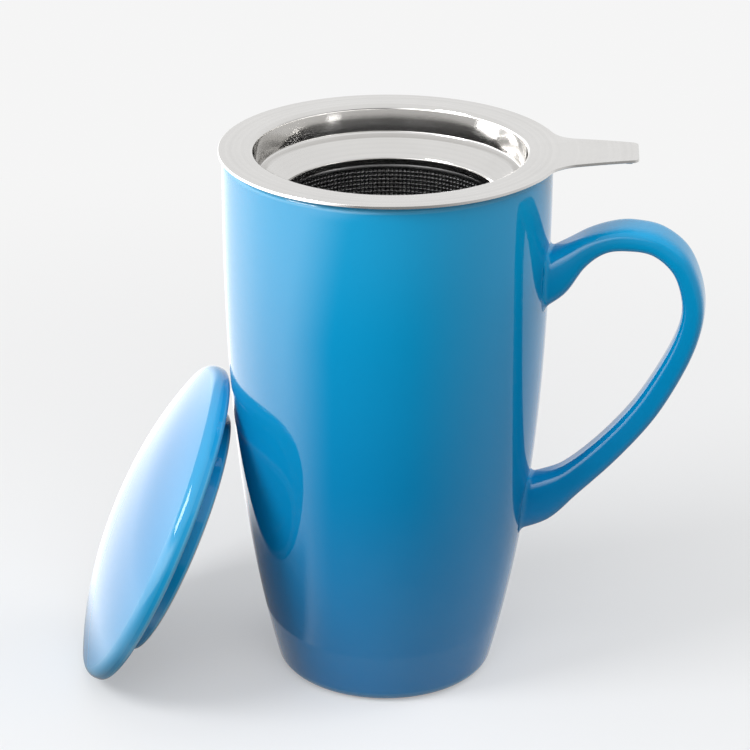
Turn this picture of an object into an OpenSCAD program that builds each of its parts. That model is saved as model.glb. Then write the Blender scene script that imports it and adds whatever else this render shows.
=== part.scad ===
// Lidded tea mug with a lift-out infuser.
// The mug stands on z = 0 with its axis on z and its handle along +x.
// The infuser sits in the mouth. The loose lid leans on the side away from the handle.

/* [Mug cup] */
// Height from the table to the lip
cup_h = 140; // [128:1:156]
// Outer radius at the mouth
mouth_r = 41; // [38:0.1:46]
// Radius that the barrel curve would reach at the table
base_r = 27.3; // [24:0.1:31]
// How fast the barrel curve reaches the mouth radius: a higher power is fuller low down
barrel_power = 2.7; // [2.2:0.1:3.6]
// Wall thickness at the lip
cup_wall = 4; // [3.4:0.1:4.8]
// Wall thickness where the wall meets the floor
cup_wall_low = 4.8; // [4:0.1:6]
// Thickness of the cup's floor
cup_floor = 5.5; // [4:0.1:8]
// Radius of the outer corner between wall and foot
foot_corner = 4; // [3:0.1:6]
// Width of the bare foot ring that stands on the table
foot_w = 3.4; // [2.5:0.1:5]
// Depth of the hollow inside the foot ring
foot_recess = 1.6; // [1:0.1:2.5]
// Radius of the inner corner between wall and floor
floor_corner = 9; // [5:0.5:12]

/* [Handle] */
// Width of the strap over its bow, across the handle's plane
strap_w = 11.6; // [9:0.1:15]
// Width of the strap at its lower root
strap_foot_w = 8.4; // [7:0.1:12]
// Thickness of the strap at the top of the bow
strap_t = 6; // [5:0.1:8]
// Depth of the handle's top edge below the lip
handle_drop = 14.9; // [12:0.1:25]
// Reach of the handle past the mouth's outer radius
handle_reach = 38.9; // [34:0.1:46]
// Height of the handle from its top edge to the foot of its lower root
handle_h = 85.3; // [76:0.1:90]
// Height of the upper root on the cup's wall
upper_root_h = 14.6; // [10:0.2:18]
// Height of the lower root on the cup's wall
lower_root_h = 14.4; // [11:0.2:18]
// How far both roots run into the cup's wall before they are trimmed to it
root_depth = 3; // [2:0.1:4]

/* [Lid] */
// How far the lid's edge reaches past the infuser's flange
lid_over = 0.7; // [-0.5:0.1:4]
// Thickness of the lid's outer edge
lid_edge = 5.2; // [4.6:0.1:7]
// Rise of the dome above the edge
dome_h = 7.1; // [4:0.1:12]
// Power of the dome's curve: higher is flatter on top
dome_power = 2.3; // [1.8:0.05:3]
// Wall thickness of the dome
lid_wall = 5; // [4:0.1:6.5]
// Radius of the upper corner of the edge
edge_top_r = 3.2; // [2:0.1:3.6]
// Radius of the lower corner of the edge
edge_low_r = 1.2; // [0.8:0.1:1.4]
// Height of the ring that locates the lid in the infuser's collar
ring_h = 4.7; // [3:0.1:6.5]
// Width of the locating ring
ring_w = 4; // [3:0.1:5]
// Clearance between the locating ring and the collar when the lid is on
ring_gap = 0.8; // [0.7:0.1:1.6]

/* [Lid place] */
// Direction that the leaning dome faces, seen from above
lean_az = 193.7; // [150:0.1:210]
// Elevation of the lid's axis as it leans
lean_el = 25; // [18:1:38]
// Sideways distance between the lid's axis and the mug's axis
lean_side = -0.5; // [-12:0.5:12]
// Clearance between the leaning lid and the cup
lean_gap = 0.3; // [0.2:0.1:1]
// Clearance between the leaning lid and the table
table_gap = 0.05; // [0.02:0.01:0.2]

/* [Infuser] */
// Sheet thickness of the collar
sheet = 0.8; // [0.5:0.1:1]
// How far the flange reaches past the mouth's outer radius
flange_over = 1.5; // [0.5:0.1:3]
// Clearance between the collar's drawn wall and the cup's inner wall at the lip
collar_gap = 2.4; // [1.6:0.1:4]
// Depth of the drawn wall below the flange's top
collar_d = 7.2; // [6:0.1:10]
// Bend radius between flange and drawn wall, on the inside face
collar_bend = 1.2; // [0.8:0.1:2]
// Width of the small step under the drawn wall
step_w = 1.8; // [1.4:0.1:2.6]
// Width of the sloping floor, from the small step in to the skirt that holds the screen
floor_w = 5; // [3.5:0.1:8]
// Depth of the sloping floor between step and skirt
funnel_d = 4.4; // [2:0.1:6]
// Length of the skirt
skirt_h = 2; // [1.8:0.1:6]
// Overall depth of the infuser below the flange's top
infuser_d = 70; // [60:1:90]
// Gap under the flange, so that it rests on the lip without cutting it
seat_gap = 0.1; // [0.05:0.05:0.3]
// How far the loose infuser has slipped towards the handle
slip = 0.7; // [0:0.1:1.5]

/* [Infuser tab] */
// Length of the tab past the flange's edge
tab_l = 18.6; // [15:0.1:30]
// Width of the tab at its tip
tab_tip_w = 13.5; // [10:0.5:18]
// Width of the tab where its straight sides would meet the flange's edge
tab_root_w = 21; // [18:0.5:24]
// Radius of the inside corners between tab and flange
tab_fillet = 9; // [5:0.5:12]
// Radius of the tab's outer corners
tab_corner = 1.6; // [0.8:0.1:3]
// Length of sheet folded under at the tip
hem_l = 1.6; // [1:0.1:4]
// Direction of the tab, seen from above
tab_az = 6.7; // [0:0.1:30]

/* [Infuser screen] */
// Thickness of the perforated sheet
screen_t = 0.4; // [0.3:0.05:0.8]
// Side of each square hole
hole = 2.8; // [1.6:0.1:3.2]
// Columns of holes in each quarter of the side screen
quarter_columns = 6; // [4:1:7]
// Rows of holes up the side
hole_rows = 6; // [3:1:8]
// Holes across the base
base_holes = 9; // [5:2:11]
// Bare margin of the side screen below the skirt and above the base rim
screen_margin = 1.2; // [1:0.1:4]
// Height of the rim that holds the base screen
rim_h = 4.5; // [3:0.1:6]
// Width of the rim's lip under the base screen
rim_lip = 3.2; // [2:0.1:5]
// Sheet thickness of the base rim
rim_t = 0.6; // [0.4:0.1:1]

/* [Hidden] */
$fn = 128;
glaze = [0.05, 0.5, 0.74];
steel = [0.78, 0.77, 0.75];
mesh_grey = [0.55, 0.55, 0.56];

// The collar's drawn wall closes in by wall_taper towards the small step, which drops by step_drop
wall_taper = 0.6;
step_drop = 0.9;

// Radii of the infuser's collar, from the cup's mouth inwards, and the reach of its tab
flange_r = mouth_r + flange_over;
collar_r = mouth_r - cup_wall - collar_gap - sheet;
step_r = collar_r - wall_taper - step_w;
skirt_r = step_r - floor_w;
tab_reach = flange_r + tab_l;

// The lid covers the flange
lid_r = flange_r + lid_over;

// Heights of the infuser's parts
flange_top = cup_h + seat_gap + sheet;
skirt_top = flange_top - collar_d - funnel_d;
skirt_foot = skirt_top - skirt_h;
infuser_foot = flange_top - infuser_d;
screen_foot = infuser_foot + rim_t + screen_t;
screen_r = skirt_r + sheet;
screen_out = screen_r + screen_t;
// The locating ring fits the collar at the depth that it reaches
ring_r = collar_r - ring_gap;

// Outer radius of the cup at height z
function cup_r(z) =
    base_r + (mouth_r - base_r) * (1 - pow(1 - max(0, min(1, z / cup_h)), barrel_power));

// Slope of the cup's outer wall at height z, as an angle from upright
function cup_lean(z) =
    atan(barrel_power * (mouth_r - base_r) / cup_h * pow(1 - z / cup_h, barrel_power - 1));

// Wall thickness at height z
function wall_at(z) = cup_wall_low + (cup_wall - cup_wall_low) * min(1, z / cup_h);

// Points along an arc, from angle a0 to angle a1
function arc(centre, r, a0, a1, steps = 8) =
    [for (i = [0:steps]) let (a = a0 + (a1 - a0) * i / steps) centre + r * [cos(a), sin(a)]];

// Unit vector from p to q
function toward(p, q) = (q - p) / norm(q - p);

// Left-hand normal of a direction
function left(d) = [-d[1], d[0]];

// Path through the given corners, each rounded by its own radius
function rounded(corners, radii, steps = 8) = [
    for (i = [0:len(corners) - 1])
        let (p = corners[i], r = radii[i])
        if (r == 0 || i == 0 || i == len(corners) - 1)
            p
        else
            let (
                u = toward(p, corners[i - 1]),
                v = toward(p, corners[i + 1]),
                half = acos(u * v) / 2,
                centre = p + toward([0, 0], u + v) * r / sin(half),
                a0 = atan2(-(centre - p - u * r / tan(half))[1], -(centre - p - u * r / tan(half))[0]),
                a1 = atan2(-(centre - p - v * r / tan(half))[1], -(centre - p - v * r / tan(half))[0]),
                turn = (a1 - a0) - 360 * round((a1 - a0) / 360)
            )
            each arc(centre, r, a0, a0 + turn, steps)
];

// Outline of a sheet that follows a path, with the sheet's thickness to the left of the path
function sheet_outline(path, t) =
    let (
        last = len(path) - 1,
        other = [
            for (i = [0:last])
                let (
                    d0 = toward(path[max(0, i - 1)], path[max(1, i)]),
                    d1 = toward(path[min(last - 1, i)], path[min(last, i + 1)]),
                    n = toward([0, 0], left(d0) + left(d1))
                )
                path[i] + n * t / (n * left(d1))
        ]
    )
    concat(path, [for (i = [last:-1:0]) other[i]]);

// ---- Cup ----

// Outer side of the cup, from the foot's edge to the start of the lip
corner_a = cup_lean(foot_corner);
corner_top = foot_corner * (1 - sin(corner_a));
foot_r = cup_r(corner_top) - foot_corner * cos(corner_a);
lip_r = cup_wall / 2;
wall_steps = 28;

function cup_side() = concat(
    arc([foot_r, foot_corner], foot_corner, -90, -corner_a),
    [for (i = [1:wall_steps]) let (z = corner_top + (cup_h - lip_r - corner_top) * i / wall_steps) [cup_r(z), z]]
);

// Inner side of the cup, from under the lip down to the axis
floor_z = foot_recess + cup_floor;
corner_z = floor_z + floor_corner;

function cup_inside() = concat(
    [for (i = [1:wall_steps])
        let (z = cup_h - lip_r - (cup_h - lip_r - corner_z) * i / wall_steps) [cup_r(z) - wall_at(z), z]],
    [for (i = [1:10])
        let (a = 90 * i / 10, r_in = cup_r(corner_z) - wall_at(corner_z))
        [r_in - floor_corner * (1 - cos(a)), corner_z - floor_corner * sin(a)]],
    [[0, floor_z]]
);

// The hollow under the foot has sloping sides
function foot_hollow() =
    [[0, foot_recess], [foot_r - foot_w - foot_recess, foot_recess], [foot_r - foot_w, 0]];

module cup_body()
    color(glaze)
    rotate_extrude()
    polygon(concat(
        foot_hollow(),
        cup_side(),
        arc([mouth_r - lip_r, cup_h - lip_r], lip_r, 15, 165),
        cup_inside()
    ));

// The cup's outer shape, filled, which trims the handle's roots
module cup_filled()
    rotate_extrude()
    polygon(concat([[0, 0]], cup_side(), [[0, cup_h - lip_r]]));

// ---- Handle ----

// The handle's top, its lower end, its outermost reach and where its roots start inside the wall
handle_top = cup_h - handle_drop;
handle_foot = handle_top - handle_h;
handle_out = mouth_r + handle_reach;
upper_r = cup_r(handle_top - upper_root_h) - root_depth;
lower_r = cup_r(handle_foot + lower_root_h / 2) - root_depth;

// A point of the strap's outer edge: hundredths of the way from a root to the outermost reach, and
// hundredths of the handle's height below its top
function edge_at(root_r, out, down) =
    [root_r + (handle_out - root_r) * out / 100, handle_top - handle_h * down / 100];

// Stations along the strap, from the upper root over the bow to the lower root. Each one is a
// point of the outer edge, the direction from there to the inner edge and the strap's depth.
stations = [
    [edge_at(upper_r, 0, 11.5), -90, upper_root_h],
    [edge_at(upper_r, 15.7, 7.2), -86, upper_root_h * 0.95],
    [edge_at(upper_r, 30.2, 3), -91, strap_t * 1.4],
    [edge_at(upper_r, 44.7, 0.6), -101, strap_t * 1.08],
    [edge_at(upper_r, 57, 0), -95, strap_t],
    [edge_at(upper_r, 72.9, 1.4), -109, strap_t * 0.97],
    [edge_at(upper_r, 87.4, 6.4), -128, strap_t * 0.97],
    [edge_at(upper_r, 96, 14.2), -153, strap_t * 0.92],
    [edge_at(upper_r, 100, 23.6), -176, strap_t * 0.93],
    [edge_at(lower_r, 98.1, 32.9), -192, strap_t * 0.98],
    [edge_at(lower_r, 90.7, 44.3), -205, strap_t * 1.05],
    [edge_at(lower_r, 76.5, 59.2), -213, strap_t * 1.12],
    [edge_at(lower_r, 57.2, 73.3), -227, strap_t * 1.18],
    [edge_at(lower_r, 36, 85.9), -245, strap_t * 1.42],
    [edge_at(lower_r, 19.8, 95.2), -261, lower_root_h * 0.88],
    [edge_at(lower_r, 0, 100), -270, lower_root_h]
];

// The two edges of the strap at each station: outer, then inner
edges = [for (s = stations) [s[0], s[0] + s[2] * [cos(s[1]), sin(s[1])]]];
station_steps = 3;
section_points = 28;
section_power = 3.4;
// The strap narrows from this station to its lower root
narrow_from = 6;

// Smooth curve through four points, from p1 at t = 0 to p2 at t = 1
function smooth(p0, p1, p2, p3, t) =
    0.5 * (2 * p1 + (p2 - p0) * t + (2 * p0 - 5 * p1 + 4 * p2 - p3) * pow(t, 2)
        + (3 * p1 - p0 - 3 * p2 + p3) * pow(t, 3));

// Station at a place along the strap, between the listed ones
function station(u) =
    let (
        last = len(edges) - 1,
        i = min(last - 1, floor(u)),
        s = [for (k = [-1:2]) edges[max(0, min(last, i + k))]]
    )
    [for (side = [0, 1]) smooth(s[0][side], s[1][side], s[2][side], s[3][side], u - i)];

// Width of the strap at a place along it
function width_at(u) =
    let (t = max(0, u - narrow_from) / (len(edges) - 1 - narrow_from))
    strap_w + (strap_foot_w - strap_w) * min(1, 1.5 * t);

// Rounded section of the strap at a place along it
function strap_ring(u) =
    let (s = station(u), middle = (s[0] + s[1]) / 2, across = (s[0] - s[1]) / 2)
    [for (k = [0:section_points - 1])
        let (
            a = 360 * k / section_points,
            c = sign(cos(a)) * pow(abs(cos(a)), 2 / section_power),
            b = sign(sin(a)) * pow(abs(sin(a)), 2 / section_power),
            p = middle + across * c
        )
        [p[0], width_at(u) / 2 * b, p[1]]];

module strap() {
    ring_count = (len(edges) - 1) * station_steps + 1;
    points = [for (i = [0:ring_count - 1]) each strap_ring(i / station_steps)];
    sides = [
        for (i = [0:ring_count - 2], k = [0:section_points - 1])
            let (
                a = i * section_points + k,
                b = i * section_points + (k + 1) % section_points
            )
            each [[a, b, b + section_points], [a, b + section_points, a + section_points]]
    ];
    first_cap = [for (k = [section_points - 1:-1:0]) k];
    last_cap = [for (k = [0:section_points - 1]) (ring_count - 1) * section_points + k];
    polyhedron(points, concat(sides, [first_cap], [last_cap]));
}

module cup_handle()
    color(glaze)
    difference() {
        strap();
        cup_filled();
    }

// ---- Lid ----

// Slope of the dome where it meets the edge's upper corner
dome_a = atan(dome_power * dome_h / lid_r);
shoulder = [lid_r - edge_top_r, lid_edge - edge_top_r];
dome_r = shoulder[0] + edge_top_r * sin(dome_a);
dome_foot = shoulder[1] + edge_top_r * cos(dome_a);
ring_in = ring_r - ring_w;
ring_round = 0.9;
ring_fillet = 0.8;
recess_bevel = 1;
dome_steps = 16;

// Height of the dome at radius r, above the plane of the edge's underside
function dome_z(r) = dome_foot + dome_h * (1 - pow(r / dome_r, dome_power));

// The recess under the dome, from the axis to the locating ring's inner side
function recess_z(r) = dome_z(r) - lid_wall;
recess_r = ring_in - recess_bevel;

function lid_outline() = concat(
    [for (i = [0:dome_steps]) let (r = recess_r * i / dome_steps) [r, recess_z(r)]],
    rounded(
        [[ring_in, recess_z(ring_in) - recess_bevel], [ring_in, -ring_h], [ring_r, -ring_h],
         [ring_r, 0], [lid_r - edge_low_r, 0]],
        [0, ring_round, ring_round, ring_fillet, 0], 4
    ),
    arc([lid_r - edge_low_r, edge_low_r], edge_low_r, -75, 0, 5),
    arc(shoulder, edge_top_r, 0, 90 - dome_a),
    [for (i = [dome_steps - 1:-1:0]) let (r = dome_r * i / dome_steps) [r, dome_z(r)]]
);

// The leaning lid rests on the table at its lower edge and on the cup at its upper edge
lean_r = lid_r - edge_low_r;
lid_z = lean_r * cos(lean_el) - edge_low_r * sin(lean_el) + edge_low_r + table_gap;
touch_z = lid_z + lean_r * cos(lean_el) + edge_low_r * sin(lean_el);
touch_r = cup_r(touch_z) + edge_low_r + lean_gap;
lid_out = touch_r + lean_r * sin(lean_el) - edge_low_r * cos(lean_el);

module lid()
    color(glaze)
    rotate(lean_az)
    translate([lid_out, lean_side, lid_z])
    rotate([0, 90 - lean_el, 0])
    rotate_extrude()
    polygon(lid_outline());

// ---- Infuser ----

// A bend whose inner side is the sheet's underside has to be rounder than the sheet is thick
press_round = 0.7;
under_spare = 0.4;
under_round = sheet + under_spare;
flange_in = collar_r + collar_bend + press_round;

// Inside face of the collar, from the flange's inner edge down to the skirt's end
collar_face = rounded(
    [[flange_in, flange_top], [collar_r, flange_top], [collar_r - wall_taper, flange_top - collar_d],
     [step_r, flange_top - collar_d - step_drop], [skirt_r, skirt_top], [skirt_r, skirt_foot]],
    [0, collar_bend, press_round, under_round, under_round, 0], 6
);

// All of the infuser has slipped together
module in_place()
    translate([slip, 0, 0])
    children();

// The tab's straight sides run from the root's width at the flange's edge to the tip's width
side_a = atan((tab_root_w - tab_tip_w) / 2 / (tab_reach - flange_r));
// Where a fillet circle touches both the flange's edge and the tab's side
fillet_off = tab_root_w / 2 + flange_r * tan(side_a) + tab_fillet / cos(side_a);
fillet_d = flange_r + tab_fillet;
fillet_x = (fillet_off * tan(side_a)
    + sqrt(pow(fillet_d, 2) * (1 + pow(tan(side_a), 2)) - pow(fillet_off, 2))) / (1 + pow(tan(side_a), 2));
fillet_y = fillet_off - fillet_x * tan(side_a);
fillet_side = [fillet_x, fillet_y] - tab_fillet * [sin(side_a), cos(side_a)];
fillet_edge = [fillet_x, fillet_y] * flange_r / fillet_d;

// One side of the tab's outline; s is 1 or -1
function tab_half(s) =
    let (
        tip = [tab_reach - tab_corner, tab_tip_w / 2 - tab_corner],
        outline = concat([fillet_edge], [fillet_side], arc(tip, tab_corner, 90 - side_a, 0, 6))
    )
    [for (p = outline) [p[0], s * p[1]]];

module tab_plate() {
    near = tab_half(-1);
    far = tab_half(1);
    difference() {
        polygon(concat([[0, near[0][1]]], near, [for (i = [len(far) - 1:-1:0]) far[i]], [[0, far[0][1]]]));
        for (s = [-1, 1])
            translate([fillet_x, s * fillet_y])
            circle(tab_fillet);
    }
}

module infuser_collar()
    color(steel)
    in_place()
    rotate(tab_az) {
        // The flat plate overlaps the flat edge of the pressed part
        translate([0, 0, flange_top - sheet])
        linear_extrude(sheet)
        difference() {
            union() {
                circle(flange_r);
                tab_plate();
            }
            circle(flange_in - press_round / 2);
        }
        rotate_extrude()
        polygon(sheet_outline(collar_face, sheet));
        // The tip is folded under
        translate([tab_reach - tab_corner - hem_l, -tab_tip_w / 2 + tab_corner, flange_top - 2 * sheet])
        cube([hem_l, tab_tip_w - 2 * tab_corner, sheet]);
    }

// The field of holes on the side screen, the bend over the skirt's straight part that the screen
// stops under, and how far each cutter runs past the sheet's two faces
field_foot = infuser_foot + rim_h + screen_margin;
field_top = skirt_foot - screen_margin;
row_pitch = (field_top - field_foot) / hole_rows;
skirt_bend_h = 1;
past = 1;

// The side screen is split into quarters at its four seams. Quarter 0 is centred on +x, and the
// others follow in the direction from +x to +y.
module screen_quarter(k) {
    wedge = screen_out + past;
    turn = 360 / 4;
    color(mesh_grey)
    in_place()
    rotate(k * turn)
    difference() {
        intersection() {
            translate([0, 0, screen_foot])
            cylinder(h = skirt_top - skirt_bend_h - screen_foot, r = screen_out);
            translate([0, 0, screen_foot - past])
            linear_extrude(infuser_d)
            polygon([[0, 0], [wedge, -wedge], [wedge, wedge]]);
        }
        translate([0, 0, screen_foot - past])
        cylinder(h = infuser_d, r = screen_r);
        for (row = [0:hole_rows - 1], col = [0:quarter_columns - 1])
            rotate(((col + 0.5) / quarter_columns - 0.5) * turn)
            translate([screen_r - past, -hole / 2, field_foot + (row + 0.5) * row_pitch - hole / 2])
            cube([screen_t + 2 * past, hole, hole]);
    }
}

module infuser_screen_right()
    screen_quarter(0);

module infuser_screen_back()
    screen_quarter(1);

module infuser_screen_left()
    screen_quarter(2);

module infuser_screen_front()
    screen_quarter(3);

// The rim is a pressed ring that clasps the foot of the side screen and carries the base screen
rim_in = screen_out - rim_lip;
rim_bevel = 0.5;

module infuser_base_rim()
    color(steel)
    in_place()
    translate([0, 0, infuser_foot])
    rotate_extrude()
    polygon([
        [rim_in, 0], [screen_out + rim_t - rim_bevel, 0], [screen_out + rim_t, rim_bevel],
        [screen_out + rim_t, rim_h], [screen_out, rim_h], [screen_out, rim_t], [rim_in, rim_t]
    ]);

module infuser_base_screen() {
    pitch = 2 * rim_in / (base_holes + 0.5);
    color(mesh_grey)
    in_place()
    translate([0, 0, infuser_foot + rim_t])
    difference() {
        cylinder(h = screen_t, r = screen_out);
        for (i = [0:base_holes - 1], j = [0:base_holes - 1])
            let (at = pitch * [i - (base_holes - 1) / 2, j - (base_holes - 1) / 2])
            if (norm(at) < rim_in - hole)
                translate([at[0], at[1], 0])
                cube([hole, hole, 3 * screen_t], center = true);
    }
}

cup_body();
cup_handle();
lid();
infuser_collar();
infuser_screen_right();
infuser_screen_back();
infuser_screen_left();
infuser_screen_front();
infuser_base_rim();
infuser_base_screen();
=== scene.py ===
"""Lidded tea mug with a lift-out infuser: its dressed pieces, finishes, studio and camera."""

import math

import bmesh
import bpy
from bpy.props import FloatProperty, FloatVectorProperty, PointerProperty
from bpy.types import Operator, Panel, PropertyGroup
from mathutils import Matrix, Vector


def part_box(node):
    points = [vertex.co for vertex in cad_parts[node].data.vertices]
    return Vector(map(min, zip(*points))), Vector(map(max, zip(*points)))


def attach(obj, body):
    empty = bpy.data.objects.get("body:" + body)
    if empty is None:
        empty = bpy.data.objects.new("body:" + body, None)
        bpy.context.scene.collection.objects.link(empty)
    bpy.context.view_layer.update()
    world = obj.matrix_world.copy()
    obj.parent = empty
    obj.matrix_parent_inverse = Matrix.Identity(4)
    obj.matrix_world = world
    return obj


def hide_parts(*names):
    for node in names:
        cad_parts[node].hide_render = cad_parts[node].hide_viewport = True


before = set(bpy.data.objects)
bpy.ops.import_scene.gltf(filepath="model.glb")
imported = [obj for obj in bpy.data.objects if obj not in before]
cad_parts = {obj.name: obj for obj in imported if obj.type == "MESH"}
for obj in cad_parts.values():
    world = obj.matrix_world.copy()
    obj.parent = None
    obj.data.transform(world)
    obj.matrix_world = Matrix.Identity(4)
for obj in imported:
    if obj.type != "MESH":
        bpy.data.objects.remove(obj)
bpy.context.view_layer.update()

bl_info = {
    "name": "Lidded tea mug with infuser",
    "version": (1, 0, 0),
    "blender": (4, 5, 0),
    "location": "3D View > Sidebar > Tea mug",
    "description": "Builds a glazed tea mug, its loose lid and its steel infuser around a fixed frame",
    "category": "Object",
}

MM = 0.001
TURN_STEPS = 192  # round the cup and the lid
RIM_STEPS = 144  # round the infuser's base rim
WORN_CURVATURE = 900  # radians per metre
CUP_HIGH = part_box("cup_body")[1]
HANDLE_LOW, HANDLE_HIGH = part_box("cup_handle")
RIM_LOW, RIM_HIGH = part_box("infuser_base_rim")
COLLAR_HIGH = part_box("infuser_collar")[1]
SCREEN_QUARTERS = ["infuser_screen_" + side for side in ("right", "back", "left", "front")]


# ---- Sizes and colours that a user would change ----


def length(name, description, default):
    """A size in metres."""
    return FloatProperty(
        name=name,
        description=description,
        default=default,
        min=0,
        unit="LENGTH",
        subtype="DISTANCE",
        precision=5,
    )


def angle(name, description, degrees):
    """An angle, given here in degrees."""
    return FloatProperty(
        name=name,
        description=description,
        default=math.radians(degrees),
        unit="ROTATION",
        subtype="ANGLE",
    )


def share(name, description, default):
    """A value from 0 to 1."""
    return FloatProperty(
        name=name, description=description, default=default, min=0, max=1, subtype="FACTOR"
    )


def power(name, description, default):
    """The power of a curve."""
    return FloatProperty(name=name, description=description, default=default, min=1)


def strength(name, description, default):
    """The strength of a light."""
    return FloatProperty(name=name, description=description, default=default, min=0)


def colour(name, description, default):
    """A linear colour."""
    return FloatVectorProperty(
        name=name, description=description, default=default, size=3, min=0, max=1, subtype="COLOR"
    )


class CupSizes(PropertyGroup):
    """Sizes of the cup"""

    height: length("Height", "Height from the table to the lip", CUP_HIGH.z)
    mouth_r: length("Mouth radius", "Outer radius at the mouth", CUP_HIGH.x)
    base_r: length("Base radius", "Radius that the barrel curve reaches at the table", 27.3 * MM)
    fullness: power("Fullness", "Power of the barrel curve", 2.7)
    wall: length("Lip wall", "Wall thickness at the lip", 4 * MM)
    wall_low: length("Low wall", "Wall thickness where the wall meets the floor", 4.8 * MM)
    floor: length("Floor", "Thickness of the floor", 5.5 * MM)
    foot_corner: length("Foot corner", "Radius of the corner between wall and foot", 4 * MM)
    foot_w: length("Foot ring width", "Width of the bare foot ring", 3.4 * MM)
    foot_recess: length("Foot recess", "Depth of the hollow inside the foot ring", 1.6 * MM)
    floor_corner: length("Floor corner", "Radius of the inner corner between wall and floor", 9 * MM)


class HandleSizes(PropertyGroup):
    """Sizes of the strap handle"""

    width: length("Width", "Width of the strap over its bow", HANDLE_HIGH.y - HANDLE_LOW.y)
    foot_width: length("Lower width", "Width of the strap at its lower root", 8.4 * MM)
    thickness: length("Thickness", "Thickness of the strap at the top of the bow", 6 * MM)
    height: length("Height", "Height from the top edge to the foot of the lower root", 85.3 * MM)
    upper_root: length("Upper root", "Height of the upper root on the wall", 14.6 * MM)
    lower_root: length("Lower root", "Height of the lower root on the wall", 14.4 * MM)
    depth: length("Root depth", "How far the roots run into the wall", 3 * MM)
    fillet: length("Glaze fillet", "Radius of the fillet of slip and glaze round both roots", 1.3 * MM)
    squareness: power("Squareness", "Power of the rounded section", 3.8)


class LidSizes(PropertyGroup):
    """Sizes and place of the lid"""

    radius: length("Radius", "Outer radius", 43.2 * MM)
    edge: length("Edge", "Thickness of the outer edge", 5.2 * MM)
    dome: length("Dome", "Rise of the dome above the edge", 7.1 * MM)
    flatness: power("Flatness", "Power of the dome's curve", 2.3)
    wall: length("Wall", "Wall thickness of the dome", 5 * MM)
    edge_top_r: length("Upper corner", "Radius of the upper corner of the edge", 3.2 * MM)
    edge_low_r: length("Lower corner", "Radius of the lower corner of the edge", 1.2 * MM)
    ring_h: length("Ring height", "Height of the locating ring", 4.7 * MM)
    ring_w: length("Ring width", "Width of the locating ring", 4 * MM)
    ring_gap: length("Ring gap", "Clearance between ring and collar when the lid is on", 0.8 * MM)
    lean_az: angle("Lean direction", "Direction that the dome faces, seen from above", 193.7)
    lean_el: angle("Lean elevation", "Elevation of the lid's axis", 25)
    side: FloatProperty(
        name="Side", description="Sideways offset", default=-0.5 * MM, unit="LENGTH", precision=5
    )
    cup_gap: length("Cup gap", "Clearance between lid and cup", 0.3 * MM)
    table_gap: length("Table gap", "Clearance between lid and table", 0.05 * MM)


class InfuserSizes(PropertyGroup):
    """Sizes of the infuser"""

    top: length("Top", "Height of the flange's top face", COLLAR_HIGH.z)
    slip: length("Slip", "How far the infuser sits off the mug's axis", (RIM_LOW.x + RIM_HIGH.x) / 2)
    sheet: length("Sheet", "Sheet thickness of the collar", 0.8 * MM)
    flange_r: length("Flange radius", "Outer radius of the flange", 42.5 * MM)
    collar_r: length("Collar radius", "Inner radius of the drawn wall at its top", 33.8 * MM)
    collar_d: length("Collar depth", "Depth of the drawn wall", 7.2 * MM)
    bend: length("Bend", "Bend radius between flange and drawn wall", 1.2 * MM)
    taper: length("Taper", "How far the drawn wall closes in", 0.6 * MM)
    step_r: length("Step radius", "Inner radius of the small step", 31.4 * MM)
    step_drop: length("Step drop", "Drop across the small step", 0.9 * MM)
    funnel_d: length("Funnel depth", "Depth of the sloping floor", 4.4 * MM)
    skirt_r: length("Skirt radius", "Inner radius of the skirt", 26.4 * MM)
    skirt_h: length("Skirt height", "Length of the skirt", 2 * MM)
    press_round: length("Press round", "Radius of the sharper press bends", 0.7 * MM)
    foot: length("Foot", "Height of the infuser's foot over the table", RIM_LOW.z)
    screen_t: length("Screen sheet", "Thickness of the perforated sheet", 0.4 * MM)
    pitch: length("Hole pitch", "Distance from hole to hole", 1.08 * MM)
    hole: length("Hole", "Side of a hole", 0.56 * MM)
    margin: length("Bare margin", "Bare band above and below the holes", 1.2 * MM)
    rim_h: length("Rim height", "Height of the base rim", 4.5 * MM)
    rim_lip: length("Rim lip", "Width of the lip under the base screen", 3.2 * MM)
    rim_t: length("Rim sheet", "Sheet thickness of the base rim", 0.6 * MM)


class TabSizes(PropertyGroup):
    """Sizes of the infuser's lift tab"""

    reach: length("Reach", "Reach from the infuser's axis", 61.1 * MM)
    tip_w: length("Tip width", "Width at the tip", 13.5 * MM)
    root_w: length("Root width", "Width where the sides would meet the flange", 21 * MM)
    fillet: length("Fillet", "Radius of the inside corners", 9 * MM)
    corner: length("Corner", "Radius of the outer corners", 1.6 * MM)
    hem: length("Hem", "Length of sheet folded under at the tip", 1.6 * MM)
    lift: length("Lift", "How far the tip is bent up", 0.6 * MM)
    turn: angle("Turn", "Direction of the tab, seen from above", 6.7)


class FinishColours(PropertyGroup):
    """Colours and gloss of the finishes"""

    glaze: colour("Glaze", "Blue glaze near the mouth", (0.0, 0.335, 0.64))
    # The deep glaze colour is partly thick glaze low down and partly painted shade, for the cup's
    # darker lower body and the lid's dome.
    glaze_deep: colour("Deep glaze", "Blue glaze low down, where it is thick", (0.0, 0.18, 0.46))
    glaze_thin: colour("Thin glaze", "Blue glaze where it breaks over an edge", (0.10, 0.42, 0.66))
    liner: colour("Liner", "White glaze inside the cup", (0.80, 0.80, 0.77))
    clay: colour("Clay", "Bare fired clay", (0.66, 0.62, 0.55))
    steel: colour("Steel", "Pressed stainless steel", (0.71, 0.7, 0.685))
    # The screen colour is far darker than real steel: painted shade for the dim inside of the infuser.
    screen: colour("Screen", "Etched steel of the perforated sheet", (0.25, 0.25, 0.255))
    glaze_roughness: share("Glaze roughness", "Roughness under the clear coat", 0.42)
    coat_roughness: share("Coat roughness", "Roughness of the glaze's surface", 0.03)


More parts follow.
